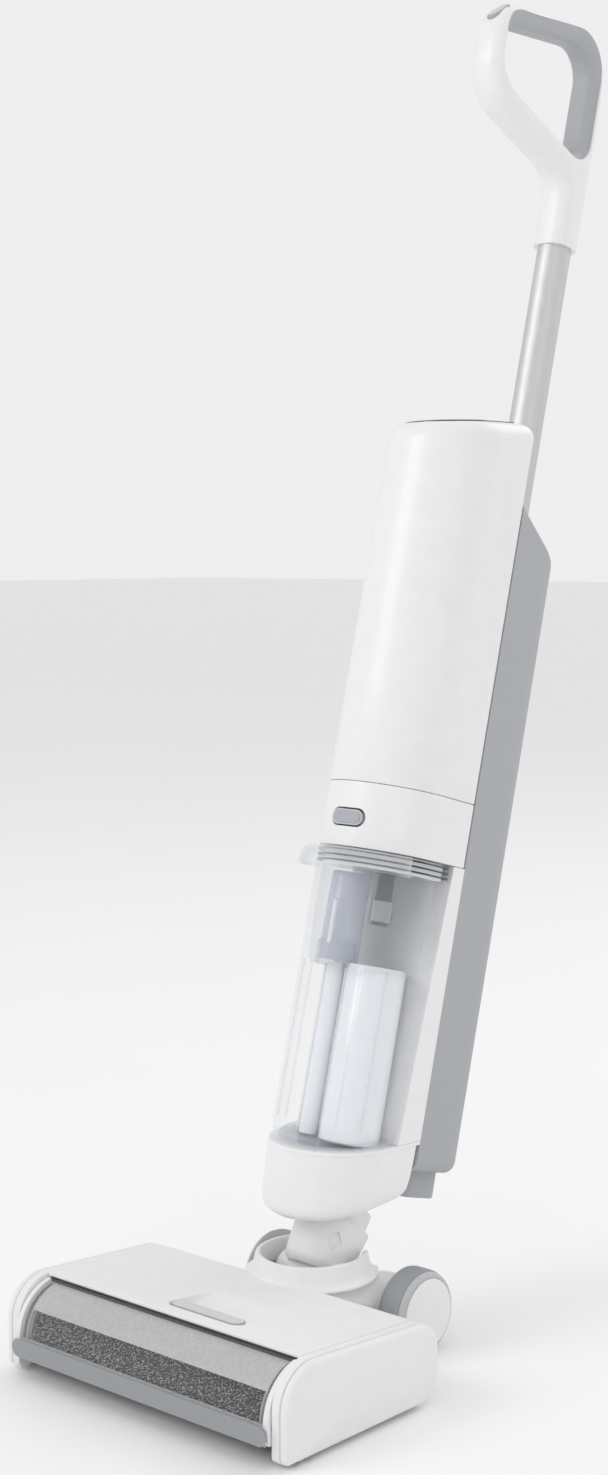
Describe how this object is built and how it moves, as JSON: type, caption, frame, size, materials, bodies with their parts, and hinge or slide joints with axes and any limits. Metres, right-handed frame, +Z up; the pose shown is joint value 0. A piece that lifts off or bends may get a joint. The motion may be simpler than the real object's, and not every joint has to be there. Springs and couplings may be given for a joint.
{
  "type": "wet dry floor scrubber",
  "caption": "Upright cordless wet dry floor scrubber: roller head with clear window, tilting neck, tower with water tanks, pole and loop handle.",
  "frame": {"origin": "on the floor under the centre of the whole machine's box, parked upright at its rest lean", "axes": "+X to the machine's left-to-right side with the window facing -Y, +Y to the rear where the handle leans, +Z up"},
  "size_m": [0.29, 0.5684, 1.0714],
  "materials": {
    "white_shell": "satin moulded white",
    "grey_shell": "fine matt light grey",
    "grey_plastic": "smooth grey",
    "clear_plastic": "clear moulded plastic",
    "display_glass": "black glossy lens",
    "steel": "plain steel",
    "pole_aluminium": "satin anodised",
    "core_aluminium": "plain extruded tube",
    "sole_plate": "pressed steel, painted grey",
    "motor_can": "zinc plated can",
    "motor_body": "cast and painted",
    "battery_wrap": "cells in a shrink sleeve",
    "board_green": "solder mask",
    "filter_pleats": "pleated paper",
    "microfibre": "short speckled pile",
    "black_rubber": "matt seal rubber",
    "grey_rubber": "soft grey strip",
    "grip_rubber": "soft touch grey liner",
    "grey_tyre": "smooth grey tread"
  },
  "bodies": {
    "head": {"left_side_frame": "white_shell", "belt_side_cover": "white_shell", "right_side_frame": "white_shell", "floor_tray": "sole_plate", "tray_screws": "steel", "head_top_cover": "white_shell", "rear_bridge": "white_shell", "hinge_pin": "steel", "neck_socket": "white_shell", "roller_bearings": "steel", "brush_motor": "motor_can", "drive_belt": "black_rubber", "squeegee_blade": "grey_rubber", "spray_bar": "clear_plastic", "suction_duct": "grey_plastic", "wheel_axle": "steel"},
    "roller": {"roller_core": "core_aluminium", "microfibre_sleeve": "microfibre", "roller_end_cap": "grey_plastic", "roller_drive_hub": "grey_plastic"},
    "brush_drive": {"motor_pulley": "steel"},
    "roller_cover": {"roller_window": "clear_plastic", "cover_rim": "white_shell", "bumper_strip": "grey_rubber", "cover_seal": "black_rubber"},
    "cover_latch": {"cover_latch": "grey_plastic"},
    "left_wheel": {"left_tyre": "grey_tyre", "left_hub": "white_shell"},
    "right_wheel": {"right_tyre": "grey_tyre", "right_hub": "white_shell"},
    "guide_rollers": {"guide_rollers": "grey_plastic"},
    "neck": {"neck_yoke": "white_shell"},
    "tower": {"base_shell": "white_shell", "tank_dock": "white_shell", "tower_spine": "white_shell", "motor_cover": "white_shell", "upper_front_shell": "white_shell", "top_cap": "white_shell", "display_lens": "display_glass", "rear_housing_shell": "grey_shell", "charging_foot": "grey_shell", "air_filter": "filter_pleats", "suction_motor": "motor_body", "battery_pack": "battery_wrap", "control_board": "board_green", "water_pump": "grey_plastic", "handle_tube": "pole_aluminium", "grip_shell": "white_shell", "grip_liner": "grip_rubber"},
    "fan": {"impeller": "grey_plastic"},
    "clean_tank": {"clean_tank": "clear_plastic", "clean_tank_cap": "grey_plastic"},
    "dirty_tank": {"dirty_tank": "clear_plastic", "tank_lid": "clear_plastic", "tank_seals": "black_rubber", "suction_pipe": "clear_plastic", "float_cage": "clear_plastic"},
    "tank_float": {"tank_float": "grey_plastic"},
    "release_button": {"tank_release_button": "grey_plastic"},
    "power_button": {"power_button": "grey_plastic"}
  },
  "joints": [
    {"name": "roller_spin", "type": "hinge", "parent": "head", "child": "roller", "pos_m": [0, -0.24173, 0.03], "axis": [1, 0, 0], "continuous": true},
    {"name": "brush_drive_spin", "type": "hinge", "parent": "head", "child": "brush_drive", "pos_m": [0, -0.18173, 0.034], "axis": [1, 0, 0], "continuous": true},
    {"name": "cover_lift", "type": "slide", "parent": "head", "child": "roller_cover", "axis": [0, 0, 1], "range_m": [0, 0.06]},
    {"name": "latch_slide", "type": "slide", "parent": "head", "child": "cover_latch", "axis": [0, 1, 0], "range_m": [0, 0.005], "stiffness_N_per_m": 400, "springref_m": -0.001},
    {"name": "left_wheel_spin", "type": "hinge", "parent": "head", "child": "left_wheel", "pos_m": [-0.07, -0.04773, 0.0333], "axis": [1, 0, 0], "continuous": true},
    {"name": "right_wheel_spin", "type": "hinge", "parent": "head", "child": "right_wheel", "pos_m": [0.07, -0.04773, 0.0333], "axis": [1, 0, 0], "continuous": true},
    {"name": "guide_spin", "type": "hinge", "parent": "head", "child": "guide_rollers", "pos_m": [0, -0.25773, 0.005], "axis": [1, 0, 0], "continuous": true},
    {"name": "neck_lean", "type": "hinge", "parent": "head", "child": "neck", "pos_m": [0, -0.08773, 0.058], "axis": [-1, 0, 0], "range_deg": [0, 30]},
    {"name": "neck_swivel", "type": "hinge", "parent": "neck", "child": "tower", "pos_m": [0, -0.06249, 0.09404], "axis": [0, 0.5736, 0.8192], "range_deg": [-30, 30]},
    {"name": "fan_spin", "type": "hinge", "parent": "tower", "child": "fan", "pos_m": [0, 0.00918, 0.42519], "axis": [0, 0.2573, 0.9663], "continuous": true},
    {"name": "clean_tank_slide", "type": "slide", "parent": "tower", "child": "clean_tank", "axis": [0, 0.9663, -0.2573], "range_m": [0, 0.12]},
    {"name": "dirty_tank_slide", "type": "slide", "parent": "tower", "child": "dirty_tank", "axis": [0, -0.9663, 0.2573], "range_m": [0, 0.14]},
    {"name": "float_lift", "type": "slide", "parent": "dirty_tank", "child": "tank_float", "axis": [0, 0.2573, 0.9663], "range_m": [0, 0.016]},
    {"name": "release_press", "type": "slide", "parent": "tower", "child": "release_button", "axis": [0, 0.9663, -0.2573], "range_m": [0, 0.003], "stiffness_N_per_m": 400, "springref_m": -0.001},
    {"name": "power_press", "type": "slide", "parent": "tower", "child": "power_button", "axis": [0, 0.5014, -0.8652], "range_m": [0, 0.002], "stiffness_N_per_m": 400, "springref_m": -0.001}
  ],
  "couplings": [
    {"joint": "brush_drive_spin", "follows": "roller_spin", "ratio": 2}
  ]
}
